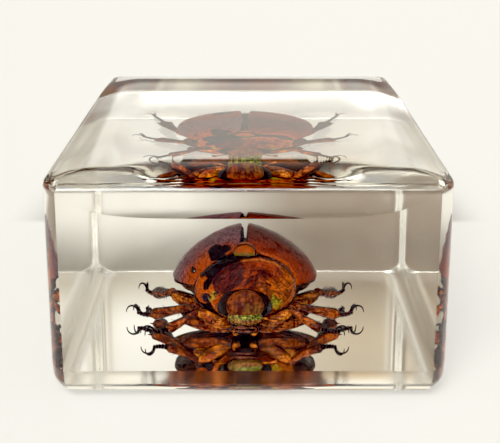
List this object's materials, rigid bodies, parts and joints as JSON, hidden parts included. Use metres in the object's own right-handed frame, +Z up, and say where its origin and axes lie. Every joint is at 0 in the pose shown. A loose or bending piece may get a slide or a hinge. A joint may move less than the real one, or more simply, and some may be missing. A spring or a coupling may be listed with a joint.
{
  "type": "insect in resin block",
  "caption": "Clear resin paperweight block with rounded edges and a low crowned top, holding a chafer beetle spread on its legs inside it.",
  "frame": {"origin": "middle of the block's underside", "axes": "+X across the block's width, +Y along its length from the beetle's head to its tail, +Z up"},
  "size_m": [0.028, 0.044, 0.0163],
  "materials": {
    "clear_resin": "polished clear casting resin",
    "beetle_chitin": "glossy translucent red-brown and amber chitin"
  },
  "bodies": {
    "root": {"resin_block_lower": "clear_resin", "resin_block_upper": "clear_resin", "beetle": "beetle_chitin"}
  },
  "joints": []
}
